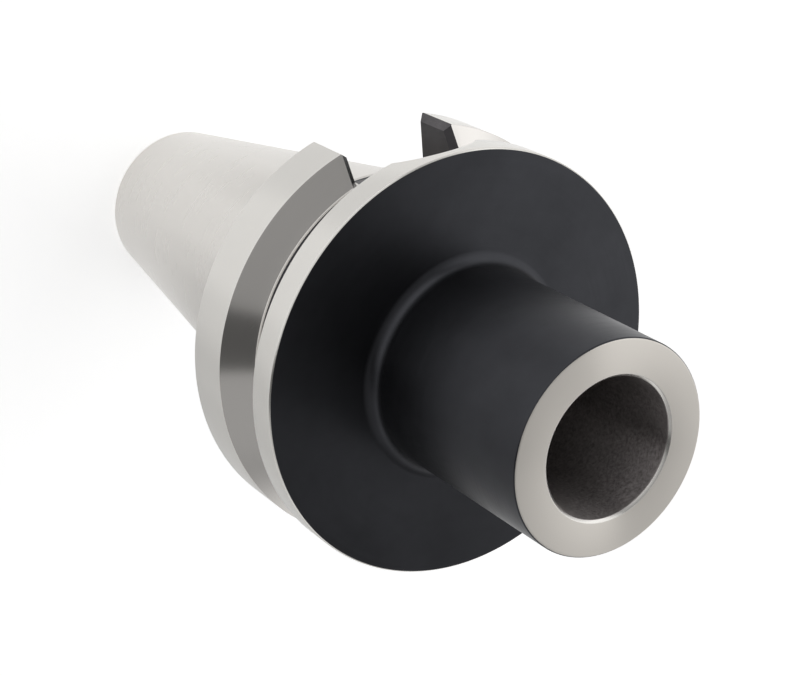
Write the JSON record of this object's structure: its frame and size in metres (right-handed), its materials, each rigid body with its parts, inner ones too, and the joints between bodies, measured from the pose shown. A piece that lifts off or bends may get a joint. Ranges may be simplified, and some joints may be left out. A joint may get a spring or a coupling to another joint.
{
  "type": "morse taper holder",
  "caption": "Steep-taper milling tool holder with a V-grooved flange, drive slots and a black nose with a Morse taper socket, and a captive draw screw inside.",
  "frame": {"origin": "centre of the gauge plane, on the axis of the shank's cone", "axes": "+Z along the axis towards the nose; the drive slots face +Y and -Y"},
  "size_m": [0.1, 0.1, 0.1918],
  "materials": {
    "holder_steel": "hardened; shank, flange rim and end face ground bright, the rest black oxide",
    "screw_steel": "black oxide, satin",
    "spring_steel": "oiled spring steel"
  },
  "bodies": {
    "holder": {"holder_body": "holder_steel", "retaining_ring": "spring_steel"},
    "screw": {"draw_screw": "screw_steel"}
  },
  "joints": [
    {"name": "draw_screw_turn", "type": "hinge", "parent": "holder", "child": "screw", "pos_m": [0, 0, -0.0401], "axis": [0, 0, 1], "continuous": true}
  ]
}
